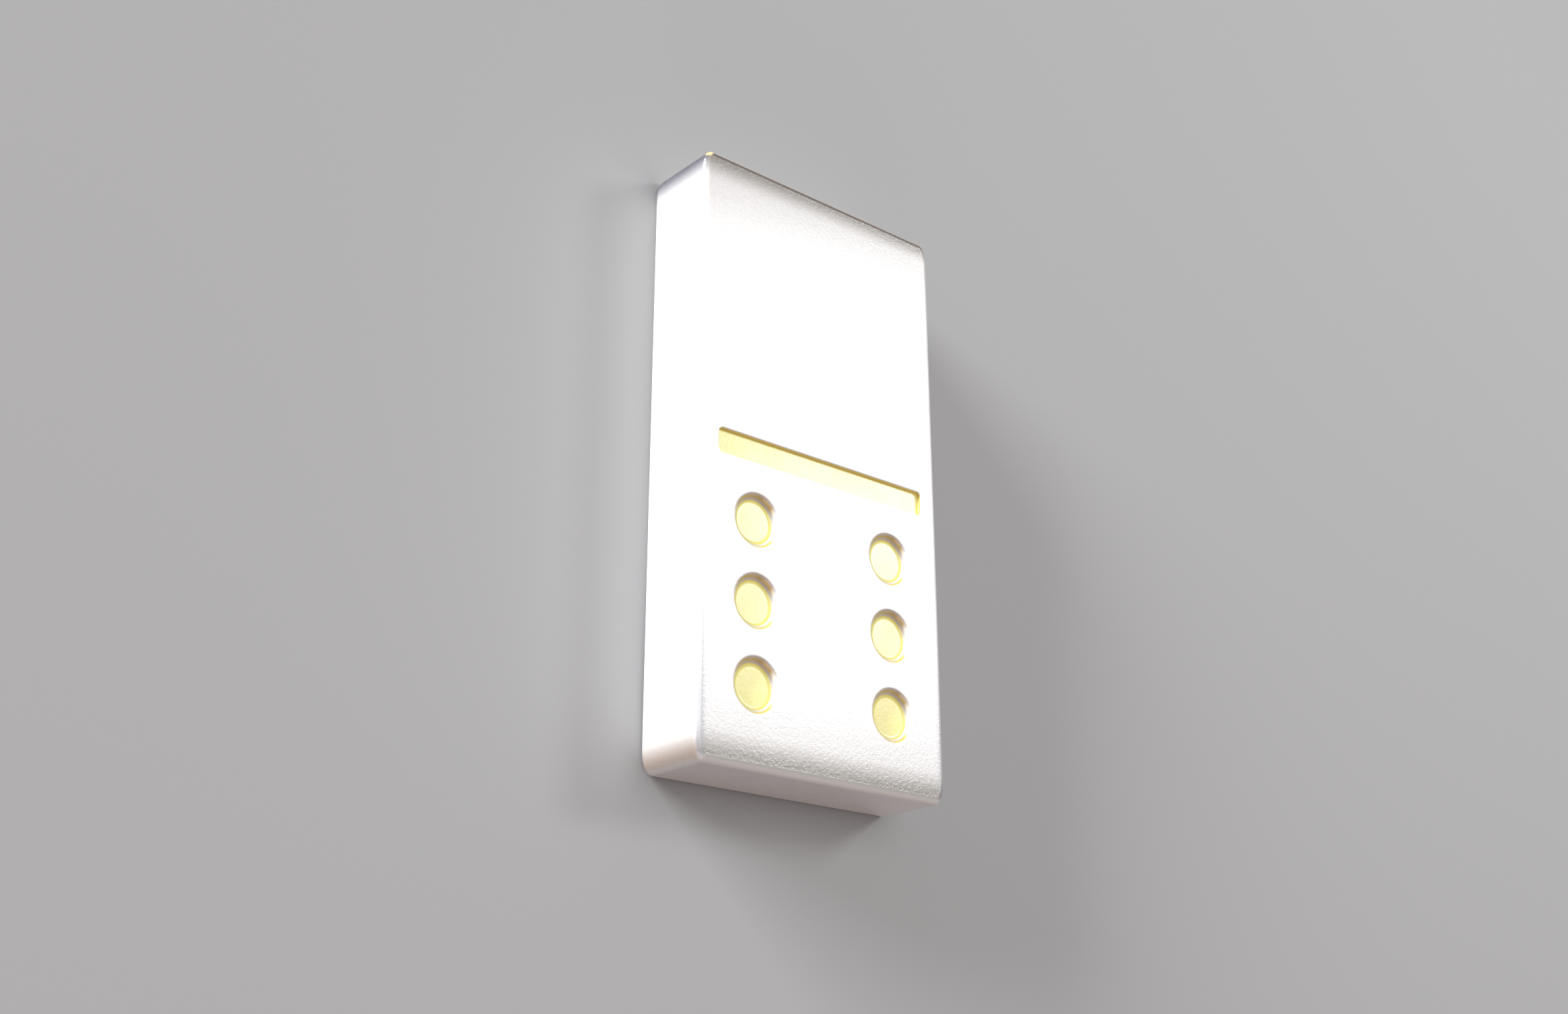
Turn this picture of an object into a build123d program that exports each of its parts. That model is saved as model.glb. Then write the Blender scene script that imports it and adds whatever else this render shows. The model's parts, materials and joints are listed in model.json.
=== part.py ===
"""Domino tile: a white moulded body with yellow inlays for the divider and the pips.

Frame: the tile lies on its back with the pip face up (+Z). X runs across the width and
Y along the length, with the six half towards -Y and the blank half towards +Y. The
origin is the centre of the flat back. All sizes are in millimetres.
"""

from build123d import *

import os

# Tile body
length = 48.0
width = 24.0
thickness = 6.5
corner_across = 0.9  # elliptical corner of the outline, reach along X
corner_along = 1.6  # elliptical corner of the outline, reach along Y
edge_radius = 0.5  # rounding between each broad face and the sides

# Divider groove across the middle of the face
divider_length = 20.6
divider_width = 1.94
divider_corner = 0.4
divider_depth = 0.36
divider_lip = 0.1  # white rounding at the mouth of the groove
divider_root = 0.12  # fillet between the groove's wall and its floor
divider_inlay_bottom = 1.2  # depth of the inlay's underside below the face
divider_key = 0.2  # how far the inlay reaches under the white lip

# Pip recesses, two columns of three in the half towards -Y
pip_column_x = 6.65
pip_row_centre = -11.7
pip_row_pitch = 6.2
pip_radius = 2.12  # where the recess's sloping wall meets the face
pip_root_radius = 1.75  # where the wall meets the floor
pip_depth = 0.55
pip_lip = 0.22  # white rounding at the mouth of the recess
pip_root = 0.58  # fillet between the recess's wall and its floor
ring_top = 0.155  # depths of the coloured ring in the recess's wall
ring_bottom = 0.365
ring_key = 0.25  # how far the ring is let into the wall
disc_radius = 1.72
disc_bottom = 1.5  # depth of the disc's underside below the face

face_plane = Plane.XY.offset(thickness)
columns = {"left": -pip_column_x, "right": pip_column_x}
rows = {
    "inner": pip_row_centre + pip_row_pitch,
    "middle": pip_row_centre,
    "outer": pip_row_centre - pip_row_pitch,
}
pips = {f"{side}_{row}": (x, y) for side, x in columns.items() for row, y in rows.items()}


def below_face(depth):
    """The horizontal plane this far below the pip face."""
    return Plane.XY.offset(thickness - depth)


def circles_at(part, radius, depth):
    """The part's circular edges of this radius at this depth below the pip face."""
    z = thickness - depth
    circles = part.edges().filter_by(GeomType.CIRCLE).filter_by_position(Axis.Z, z, z)
    return circles.filter_by(lambda edge: abs(edge.radius - radius) < 0.01)


# The moulding before any inlay is let in: the rounded slab with its shallow recesses
with BuildPart() as blank:
    half_x = width / 2
    half_y = length / 2
    with BuildSketch():
        with BuildLine():
            Line((half_x, 0), (half_x, half_y - corner_along))
            EllipticalCenterArc(
                (half_x - corner_across, half_y - corner_along),
                corner_across,
                corner_along,
                start_angle=0,
                arc_size=90,
            )
            Line((half_x - corner_across, half_y), (0, half_y))
            mirror(about=Plane.XZ)
            mirror(about=Plane.YZ)
        make_face()
    extrude(amount=thickness)
    fillet(blank.faces().filter_by(Axis.Z).edges(), radius=edge_radius)

    # Divider groove, with a fillet round its floor and a rounded lip at its mouth
    with BuildSketch(face_plane):
        RectangleRounded(divider_length, divider_width, divider_corner)
    extrude(amount=-divider_depth, mode=Mode.SUBTRACT)
    groove_floor = blank.faces(Select.LAST).sort_by(Axis.Z)[0]
    fillet(groove_floor.edges(), radius=divider_root)
    pip_face = blank.faces().filter_by(Axis.Z).sort_by(Axis.Z)[-1]
    fillet(pip_face.inner_wires()[0].edges(), radius=divider_lip)

    # Pip recesses: shallow dishes with a sloping wall, finished the same way
    with Locations(face_plane):
        with Locations(*pips.values()):
            Cone(
                bottom_radius=pip_root_radius,
                top_radius=pip_radius,
                height=pip_depth,
                align=(Align.CENTER, Align.CENTER, Align.MAX),
                mode=Mode.SUBTRACT,
            )
    fillet(circles_at(blank, pip_root_radius, pip_depth), radius=pip_root)
    fillet(circles_at(blank, pip_radius, 0), radius=pip_lip)

# The inlays take the material of the blank inside their own outline, so that each one
# carries the recess's surface and meets the body face to face
with BuildPart() as divider_inlay:
    add(blank.part)
    with BuildSketch(below_face(divider_inlay_bottom)):
        RectangleRounded(
            divider_length + 2 * divider_key,
            divider_width + 2 * divider_key,
            divider_corner + divider_key,
        )
    extrude(amount=divider_inlay_bottom - divider_lip, mode=Mode.INTERSECT)


def pip_ring(centre):
    """The coloured ring round the wall of one recess."""
    with BuildPart() as ring:
        add(blank.part)
        with BuildSketch(below_face(ring_bottom)):
            with Locations(centre):
                Circle(pip_radius + ring_key)
        extrude(amount=ring_bottom - ring_top, mode=Mode.INTERSECT)
    return ring.part


def pip_disc(centre):
    """The coloured disc in the floor of one recess."""
    with BuildPart() as disc:
        add(blank.part)
        with BuildSketch(below_face(disc_bottom)):
            with Locations(centre):
                Circle(disc_radius)
        extrude(amount=disc_bottom, mode=Mode.INTERSECT)
    return disc.part


rings = {f"pip_ring_{name}": pip_ring(centre) for name, centre in pips.items()}
discs = {f"pip_disc_{name}": pip_disc(centre) for name, centre in pips.items()}

# The body is the blank less the inlays
with BuildPart() as tile_body:
    add(blank.part)
    add(divider_inlay.part, mode=Mode.SUBTRACT)
    for inlay in (*rings.values(), *discs.values()):
        add(inlay, mode=Mode.SUBTRACT)

os.makedirs("parts", exist_ok=True)
pieces = {"tile_body": tile_body.part, "divider_inlay": divider_inlay.part, **rings, **discs}
for name, piece in pieces.items():
    piece.label = name
    export_step(piece, f"parts/{name}.step")
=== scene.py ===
"""Studio scene of the domino tile: procedural plastics, a pale floor, soft lights and the camera.

Everything is in metres in the tile's own frame: the tile lies on its back on Z = 0 with the
pip face up, its width along X and its length along Y, and the six half towards -Y. Left is
towards -X, as for someone who looks down on the tile with the six half nearest.
"""

import json
import math
from collections import namedtuple

import bpy
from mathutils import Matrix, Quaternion, Vector


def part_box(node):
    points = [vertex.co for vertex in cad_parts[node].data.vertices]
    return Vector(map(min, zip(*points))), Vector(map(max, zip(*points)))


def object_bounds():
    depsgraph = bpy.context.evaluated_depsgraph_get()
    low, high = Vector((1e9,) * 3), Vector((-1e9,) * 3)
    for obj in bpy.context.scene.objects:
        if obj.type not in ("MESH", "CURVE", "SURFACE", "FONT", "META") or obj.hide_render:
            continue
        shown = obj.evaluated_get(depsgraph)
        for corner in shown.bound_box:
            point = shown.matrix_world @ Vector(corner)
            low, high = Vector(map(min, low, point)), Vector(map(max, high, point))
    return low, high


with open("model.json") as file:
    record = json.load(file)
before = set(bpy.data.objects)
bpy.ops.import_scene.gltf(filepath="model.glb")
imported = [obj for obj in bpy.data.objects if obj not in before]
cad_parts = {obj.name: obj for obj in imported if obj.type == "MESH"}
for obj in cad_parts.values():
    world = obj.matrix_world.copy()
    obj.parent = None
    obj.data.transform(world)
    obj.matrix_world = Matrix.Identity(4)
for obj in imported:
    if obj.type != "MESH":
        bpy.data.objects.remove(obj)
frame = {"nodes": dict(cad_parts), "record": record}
cad_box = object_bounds()

MM = 0.001

tile_low, tile_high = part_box("tile_body")
tile_size = tile_high - tile_low
tile_centre = (tile_low + tile_high) / 2
face_height = tile_high.z

# Camera: where it stands round the tile, as azimuth (0 looks along +Y) and elevation
CAMERA_AZIMUTH = math.radians(-59.39)
CAMERA_ELEVATION = math.radians(45.0)
CAMERA_ROLL = math.radians(67.18)
CAMERA_DISTANCE = 138.36 * MM
CAMERA_AIM = Vector((-0.36, -1.60, 2.13)) * MM
CAMERA_LENS = 40.96
CAMERA_SENSOR = 36.0
CAMERA_CLIP_NEAR = 5 * MM
CAMERA_CLIP_FAR = 10.0

# The colours of one plastic, all linear: as moulded; in older patches, also the painted shade on
# recess walls; the painted shade towards the ends; and the darker painted shade on recess walls and
# in the grain's pits
PlasticColours = namedtuple("PlasticColours", "moulded aged handled grimy")

WHITE = (0.86, 0.86, 0.86)
WHITES = PlasticColours(
    moulded=WHITE,
    aged=(0.84, 0.82, 0.79),
    handled=(0.33, 0.312, 0.29),
    grimy=(0.46, 0.40, 0.36),
)
YELLOWS = PlasticColours(
    moulded=(0.86, 0.81, 0.215),
    aged=(0.80, 0.61, 0.16),
    handled=(0.66, 0.62, 0.08),
    grimy=(0.46, 0.33, 0.11),
)
WHITE_ROUGHNESS = 0.30
YELLOW_ROUGHNESS = 0.32
PLASTIC_IOR = 1.52
COAT_WEIGHT = 0.6
COAT_ROUGHNESS = 0.26

# Moulded grain: fine noise and small cells, with coarser lumps under them
GRAIN_SIZE = 0.085 * MM
CELL_SIZE = GRAIN_SIZE * 1.6
LUMP_SIZE = GRAIN_SIZE * 3.0
FINE_SHARE = 0.8
CELL_SHARE = 0.5
LUMP_SHARE = 1.1
GRAIN_HEIGHT_WHITE = 0.0105 * MM
GRAIN_HEIGHT_YELLOW = 0.0035 * MM
BLANK_HALF_GRAIN = 1.8  # how many times higher the grain is on the blank half
# Painted shade in the grain's pits, as a share
PIT_SHADE = 0.14

# Slow changes of tone and gloss, and the polish on the outer edges
PATCH_SIZE = 7.0 * MM
PATCH_AGE = 0.35
GLOSS_SPOT_SIZE = 2.5 * MM
GLOSS_SPREAD = 0.02
EDGE_POLISH = -0.05

# Where the masks of place start and where they are full: along the tile's length,
BLANK_HALF = (-5.0 * MM, 5.0 * MM)
PIPS_SIDE = (-2.5 * MM, -3.0 * MM)
LOWER_PART = (-6.0 * MM, -20.0 * MM)
# in from either end,
GREYED_END = (7.5 * MM, 0.0)
DARKEST_END = (2.7 * MM, 0.35 * MM)
OFF_END = (0.2 * MM, 0.7 * MM)
ROUNDED_END = (0.62 * MM, 0.45 * MM)
# and down from the face
SHALLOW = (1.0 * MM, 0.9 * MM)

# Painted shade towards either end. On the blank half it shortens from left to right by the lean,
# as a share for each metre, and on the long sides it is stretched.
END_SHADE_STRENGTH = 0.45
END_SHADE_LEAN = 0.016 / MM
SIDE_STRETCH = 0.2
# Colours of the darker painted shade over the last millimetres: on the faces, and on the long sides
# at the six end and the blank end
FACE_END_SHADE = (0.20, 0.18, 0.155)
SIDE_END_SHADE_SIX_END = (0.29, 0.235, 0.20)
SIDE_END_SHADE_BLANK_END = (0.05, 0.05, 0.075)

# Painted reflection, shade and highlight on the rounded edges
EDGE_PINK_REFLECTION = (0.60, 0.46, 0.39)
EDGE_BROWN_SHADE = (0.06, 0.04, 0.025)
CORNER_GOLD_HIGHLIGHT = (0.88, 0.52, 0.20)
EDGE_PAINT_SIX_END = 0.10
EDGE_PAINT_BLANK_END = 0.9
LONG_EDGE_BLUE_SHADE = (0.26, 0.27, 0.31)
LONG_EDGE_SHADE_STRENGTH = 0.5

# Painted shade and painted light on the recess walls
WALL_SHADE = 0.8
WALL_PAINTED_LIGHT = 0.95
BLANK_FACING_SHADE = 0.65
DIVIDER_SHADE = 0.5

FLOOR_COLOUR = (0.37, 0.37, 0.375)
FLOOR_ROUGHNESS = 0.85
FLOOR_RADIUS = 1.5
FLOOR_VERTICES = 96
FLOOR_FADE = (0.16, 0.45)

WORLD_COLOUR = (1.0, 0.94, 0.925)
WORLD_STRENGTH = 0.40

# Softboxes: azimuth and elevation in degrees, distance, width, height, radiance and colour
SOFTBOXES = {
    "key": (-121.0, 8.5, 1.20, 0.60, 0.28, 58.0, (0.96, 0.98, 1.0)),
    "sheen": (118.0, 42.0, 0.45, 0.10, 0.10, 19.0, (0.97, 0.99, 1.0)),
    "overhead": (180.0, 80.0, 0.60, 0.35, 0.35, 2.6, (1.0, 1.0, 1.0)),
    "front": (-10.0, 15.0, 0.60, 0.30, 0.20, 3.1, (1.0, 0.70, 0.65)),
}

# A Mix node's colour sockets come after its number and vector ones
MIX_COLOUR_A = 6
MIX_COLOUR_B = 7
MIX_COLOUR_RESULT = 2


def direction(azimuth, elevation):
    """The unit vector from the tile towards something that stands at these angles."""
    flat = math.cos(elevation)
    return Vector((math.sin(azimuth) * flat, -math.cos(azimuth) * flat, math.sin(elevation)))


def looking(back):
    """The rotation of a camera or light whose -Z points away from the direction back."""
    return (-back).to_track_quat("-Z", "Y")


class Nodes:
    """A short way to write a node tree."""

    def __init__(self, tree):
        self.tree = tree
        tree.nodes.clear()

    def add(self, kind, **attributes):
        """A new node of this kind with these attributes."""
        node = self.tree.nodes.new(kind)
        for name, value in attributes.items():
            setattr(node, name, value)
        return node

    def feed(self, value, socket):
        """Links an output to a socket, or sets the socket to a plain value."""
        if isinstance(value, bpy.types.NodeSocket):
            self.tree.links.new(value, socket)
        elif isinstance(value, tuple) and socket.type == "RGBA":
            socket.default_value = (*value, 1.0)
        else:
            socket.default_value = value

    def show(self, surface, kind="ShaderNodeOutputMaterial"):
        """Ends the tree in an output node of this kind."""
        self.feed(surface, self.add(kind).inputs["Surface"])

    def split(self, vector):
        """A vector's components, by the names X, Y and Z."""
        node = self.add("ShaderNodeSeparateXYZ")
        self.feed(vector, node.inputs[0])
        return node.outputs

    def math(self, operation, a, b=0.0):
        """The output of a Math node."""
        node = self.add("ShaderNodeMath", operation=operation)
        self.feed(a, node.inputs[0])
        self.feed(b, node.inputs[1])
        return node.outputs[0]

    def product(self, result, *factors):
        """The product of two or more values."""
        for factor in factors:
            result = self.math("MULTIPLY", result, factor)
        return result

    def noise(self, coordinates, size, detail, roughness=0.5):
        """Noise with lumps of about this size in metres."""
        node = self.add("ShaderNodeTexNoise")
        self.feed(coordinates, node.inputs["Vector"])
        self.feed(1.0 / size, node.inputs["Scale"])
        self.feed(detail, node.inputs["Detail"])
        self.feed(roughness, node.inputs["Roughness"])
        return node.outputs["Fac"]

    def cells(self, coordinates, size):
        """Smooth distance to the nearest of scattered points, in cells of this size."""
        node = self.add("ShaderNodeTexVoronoi", feature="SMOOTH_F1")
        self.feed(coordinates, node.inputs["Vector"])
        self.feed(1.0 / size, node.inputs["Scale"])
        return node.outputs["Distance"]

    def remap(self, value, low, high, new_low, new_high):
        """Value mapped smoothly from one range to another and clamped."""
        node = self.add("ShaderNodeMapRange", interpolation_type="SMOOTHSTEP")
        for name, number in (
            ("Value", value),
            ("From Min", low),
            ("From Max", high),
            ("To Min", new_low),
            ("To Max", new_high),
        ):
            self.feed(number, node.inputs[name])
        return node.outputs["Result"]

    def mask(self, value, none_at, full_at, strength=1.0):
        """A mask that rises smoothly from 0 where value is none_at to strength at full_at."""
        if none_at < full_at:
            return self.remap(value, none_at, full_at, 0.0, strength)
        return self.remap(value, full_at, none_at, strength, 0.0)

    def blend(self, factor, a, b):
        """Colour a where the factor is 0, and b where it is 1."""
        node = self.add("ShaderNodeMix", data_type="RGBA")
        self.feed(factor, node.inputs["Factor"])
        self.feed(a, node.inputs[MIX_COLOUR_A])
        self.feed(b, node.inputs[MIX_COLOUR_B])
        return node.outputs[MIX_COLOUR_RESULT]


class Surface:
    """Where each point of the tile lies and which way it faces, as node outputs."""

    def __init__(self, n):
        self.place = n.add("ShaderNodeTexCoord").outputs["Object"]
        axes = n.split(self.place)
        self.x = axes["X"]
        self.y = axes["Y"]
        self.depth = n.math("SUBTRACT", face_height, axes["Z"])

        # Shares of the way from the middle of the tile to its sides, and to its whole outline
        self.across = n.math("DIVIDE", n.math("ABSOLUTE", self.x), tile_size.x / 2)
        along = n.math("DIVIDE", n.math("ABSOLUTE", self.y), tile_size.y / 2)
        self.outwards = n.math("MAXIMUM", self.across, along)
        self.end_distance = n.math("SUBTRACT", tile_size.y / 2, n.math("ABSOLUTE", self.y))

        # 1 on the blank half, and 1 on the six half clear of the divider
        self.blank_half = n.mask(self.y, *BLANK_HALF)
        self.pips_side = n.mask(self.y, *PIPS_SIDE)

        # The unit normal, and how nearly it lies along X and along Z whichever way it points
        normal = n.split(n.add("ShaderNodeNewGeometry").outputs["Normal"])
        self.facing_x = normal["X"]
        self.facing_y = normal["Y"]
        self.facing_z = normal["Z"]
        self.sideways = n.math("ABSOLUTE", self.facing_x)
        self.upright = n.math("ABSOLUTE", self.facing_z)


def moulded_grain(n, surface):
    """The fine grain, and the whole relief that adds coarser lumps to it."""
    fine = n.noise(surface.place, GRAIN_SIZE, detail=2.0, roughness=0.6)
    cells = n.cells(surface.place, CELL_SIZE)
    grain = n.math("ADD", n.product(fine, FINE_SHARE), n.product(cells, CELL_SHARE))
    lumps = n.noise(surface.place, LUMP_SIZE, detail=1.0)
    return grain, n.math("ADD", grain, n.product(lumps, LUMP_SHARE))


def shaded_ends(n, surface, base, end_shade_colour):
    """Paints shade towards either end: a greyness, and a darker shade over the last millimetres."""
    from_left = n.math("ADD", surface.x, tile_size.x / 2)
    lean = n.product(from_left, END_SHADE_LEAN, surface.blank_half)
    on_side = n.mask(surface.sideways, 0.3, 0.9)
    shortening = n.math("SUBTRACT", lean, n.product(on_side, SIDE_STRETCH))
    distance = n.product(surface.end_distance, n.math("ADD", shortening, 1.0))

    handled = n.mask(distance, *GREYED_END, END_SHADE_STRENGTH)
    off_side = n.math("SUBTRACT", 1.0, on_side)
    greyed = n.blend(n.product(handled, off_side), base, end_shade_colour)

    # On the faces the darker painted shade stops short of the end, and on the long sides it reaches
    # the end
    side_shade = n.blend(surface.blank_half, SIDE_END_SHADE_SIX_END, SIDE_END_SHADE_BLANK_END)
    last_mm_shade = n.blend(on_side, FACE_END_SHADE, side_shade)
    # Darker painted shade over the last millimetres
    beside_end = n.mask(distance, *DARKEST_END)
    off_end = n.math("MAXIMUM", n.mask(surface.end_distance, *OFF_END), on_side)
    return n.blend(n.product(beside_end, off_end), greyed, last_mm_shade)


def lit_and_shaded_edges(n, surface, base):
    """Paints a warm reflection and shade on the upper edges of the ends, and a bluish shade on the
    long edges.
    """
    # Painted reflection in pink outside and painted shade in brown where the face begins, turning
    # to a painted golden highlight on the blank end's left corner
    near_end = n.mask(surface.end_distance, *ROUNDED_END)
    rounded = n.mask(surface.facing_z, 0.1, 0.45)
    strength = n.remap(surface.blank_half, 0.0, 1.0, EDGE_PAINT_SIX_END, EDGE_PAINT_BLANK_END)
    edge_colour = n.blend(n.mask(surface.upright, 0.72, 0.92), EDGE_PINK_REFLECTION, EDGE_BROWN_SHADE)
    on_corner = n.product(n.mask(surface.facing_x, -0.1, -0.45), surface.blank_half)
    edge_colour = n.blend(on_corner, edge_colour, CORNER_GOLD_HIGHLIGHT)
    edge_painted = n.blend(n.product(near_end, rounded, strength), base, edge_colour)

    # The bluish painted shade grows towards the six half's end
    long_edge = n.mask(surface.across, 0.92, 0.965, LONG_EDGE_SHADE_STRENGTH)
    off_wall = n.mask(surface.upright, 0.3, 0.7)
    lower_part = n.mask(surface.y, *LOWER_PART)
    return n.blend(n.product(long_edge, off_wall, lower_part), edge_painted, LONG_EDGE_BLUE_SHADE)


def lit_and_shaded_recesses(n, surface, base, colours):
    """Paints shade on the recess walls, darker where they face an end, and paints light on them,
    white where they face left.
    """
    sloping = n.mask(surface.upright, 0.995, 0.80)
    inside = n.mask(surface.outwards, 0.94, 0.93)
    shallow = n.mask(surface.depth, *SHALLOW)
    wall = n.product(sloping, inside, shallow)
    # Painted shade over the recess walls
    aged = n.blend(n.product(wall, WALL_SHADE), base, colours.aged)

    # Darker painted shade on the walls that face an end
    six_facing = n.mask(surface.facing_y, 0.0, -0.45)
    blank_facing = n.mask(surface.facing_y, 0.35, 0.70, BLANK_FACING_SHADE)
    end_facing = n.math("MAXIMUM", six_facing, blank_facing)
    share = n.remap(surface.pips_side, 0.0, 1.0, DIVIDER_SHADE, 1.0)
    grimy = n.blend(n.product(end_facing, share, wall), aged, colours.grimy)

    # Painted light: the walls that face left are painted white
    left_facing = n.mask(surface.facing_x, -0.58, -0.78, WALL_PAINTED_LIGHT)
    return n.blend(n.product(wall, surface.pips_side, left_facing), grimy, WHITE)


def plastic(name, colours, roughness, grain_height):
    """Satin moulded plastic with a fine grain, with painted light and shade at its ends, edges and
    recess walls and in the grain's pits.
    """
    material = bpy.data.materials.new(name)
    material.use_nodes = True
    n = Nodes(material.node_tree)
    surface = Surface(n)

    grain, relief = moulded_grain(n, surface)
    blank_height = grain_height * BLANK_HALF_GRAIN
    height = n.remap(surface.blank_half, 0.0, 1.0, grain_height, blank_height)
    bump = n.add("ShaderNodeBump")
    n.feed(1.0, bump.inputs["Strength"])
    n.feed(height, bump.inputs["Distance"])
    n.feed(relief, bump.inputs["Height"])

    patches = n.noise(surface.place, PATCH_SIZE, detail=3.0, roughness=0.6)
    base = n.blend(n.mask(patches, 0.35, 0.75, PATCH_AGE), colours.moulded, colours.aged)
    # Painted shade towards either end
    base = shaded_ends(n, surface, base, colours.handled)
    # Painted reflection, shade and highlight on the edges
    base = lit_and_shaded_edges(n, surface, base)
    # Painted shade and painted light on the recess walls
    base = lit_and_shaded_recesses(n, surface, base, colours)
    # Painted shade in the grain's pits
    base = n.blend(n.mask(grain, 0.75, 0.35, PIT_SHADE), base, colours.grimy)

    spots = n.noise(surface.place, GLOSS_SPOT_SIZE, detail=1.0)
    uneven = n.remap(spots, 0.3, 0.7, -GLOSS_SPREAD, GLOSS_SPREAD)
    polished = n.product(n.mask(surface.outwards, 0.95, 1.0), EDGE_POLISH)
    rough = n.math("ADD", n.math("ADD", uneven, polished), roughness)

    shader = n.add("ShaderNodeBsdfPrincipled")
    n.feed(base, shader.inputs["Base Color"])
    n.feed(rough, shader.inputs["Roughness"])
    n.feed(bump.outputs["Normal"], shader.inputs["Normal"])
    n.feed(bump.outputs["Normal"], shader.inputs["Coat Normal"])
    shader.inputs["IOR"].default_value = PLASTIC_IOR
    shader.inputs["Coat Weight"].default_value = COAT_WEIGHT
    shader.inputs["Coat Roughness"].default_value = COAT_ROUGHNESS
    n.show(shader.outputs["BSDF"])
    return material


def dress_tile():
    """Gives every CAD node the plastic that belongs to its material slot."""
    white = plastic("white_plastic", WHITES, WHITE_ROUGHNESS, GRAIN_HEIGHT_WHITE)
    yellow = plastic("yellow_plastic", YELLOWS, YELLOW_ROUGHNESS, GRAIN_HEIGHT_YELLOW)
    plastics = {"body_white": white, "inlay_yellow": yellow}
    for part in frame["record"]["subparts"]:
        node = frame["nodes"][part["node"]]
        node.data.materials[0] = plastics[part["material_slot"]]


def add_floor():
    """A pale matt sheet for the tile to lie on, fading into the surround away from it."""
    bpy.ops.mesh.primitive_circle_add(
        vertices=FLOOR_VERTICES, radius=FLOOR_RADIUS, fill_type="NGON"
    )
    floor = bpy.context.object
    floor.name = "floor"
    floor.location.z = cad_box[0].z
    material = bpy.data.materials.new("floor_paper")
    material.use_nodes = True
    n = Nodes(material.node_tree)
    paper = n.add("ShaderNodeBsdfPrincipled")
    n.feed(FLOOR_COLOUR, paper.inputs["Base Color"])
    n.feed(FLOOR_ROUGHNESS, paper.inputs["Roughness"])
    surround = n.add("ShaderNodeEmission")
    n.feed(WORLD_COLOUR, surround.inputs["Color"])
    n.feed(WORLD_STRENGTH, surround.inputs["Strength"])
    radius = n.add("ShaderNodeVectorMath", operation="LENGTH")
    n.feed(n.add("ShaderNodeTexCoord").outputs["Object"], radius.inputs[0])
    fade = n.add("ShaderNodeMixShader")
    n.feed(n.mask(radius.outputs["Value"], *FLOOR_FADE), fade.inputs[0])
    n.feed(paper.outputs["BSDF"], fade.inputs[1])
    n.feed(surround.outputs["Emission"], fade.inputs[2])
    n.show(fade.outputs["Shader"])
    floor.data.materials.append(material)


def softbox(name, azimuth, elevation, distance, width, height, radiance, colour):
    """An area light that stands at these angles in degrees and faces the tile.

    Its power is worked out from its size, so that radiance is how bright its face looks."""
    data = bpy.data.lights.new(name, "AREA")
    data.shape = "RECTANGLE"
    data.size = width
    data.size_y = height
    data.energy = radiance * math.pi * width * height
    data.color = colour
    light = bpy.data.objects.new(name, data)
    away = direction(math.radians(azimuth), math.radians(elevation))
    light.location = tile_centre + away * distance
    light.rotation_mode = "QUATERNION"
    light.rotation_quaternion = looking(away)
    bpy.context.scene.collection.objects.link(light)


def light_scene():
    """A low key on the blank half's left, a sheen light opposite the camera, and weak fills."""
    for name, settings in SOFTBOXES.items():
        softbox(name, *settings)
    world = bpy.data.worlds.new("studio")
    world.use_nodes = True
    n = Nodes(world.node_tree)
    background = n.add("ShaderNodeBackground")
    n.feed(WORLD_COLOUR, background.inputs["Color"])
    n.feed(WORLD_STRENGTH, background.inputs["Strength"])
    n.show(background.outputs[0], "ShaderNodeOutputWorld")
    bpy.context.scene.world = world


def add_camera():
    """The camera, rolled so that the tile's length runs up the picture."""
    data = bpy.data.cameras.new("camera")
    data.lens = CAMERA_LENS
    data.sensor_width = CAMERA_SENSOR
    data.clip_start = CAMERA_CLIP_NEAR
    data.clip_end = CAMERA_CLIP_FAR
    camera = bpy.data.objects.new("camera", data)
    back = direction(CAMERA_AZIMUTH, CAMERA_ELEVATION)
    camera.location = CAMERA_AIM + back * CAMERA_DISTANCE
    camera.rotation_mode = "QUATERNION"
    camera.rotation_quaternion = looking(back) @ Quaternion((0, 0, 1), CAMERA_ROLL)
    bpy.context.scene.collection.objects.link(camera)
    bpy.context.scene.camera = camera


add_camera()
dress_tile()
add_floor()
light_scene()
bpy.context.scene.view_settings.view_transform = "Standard"
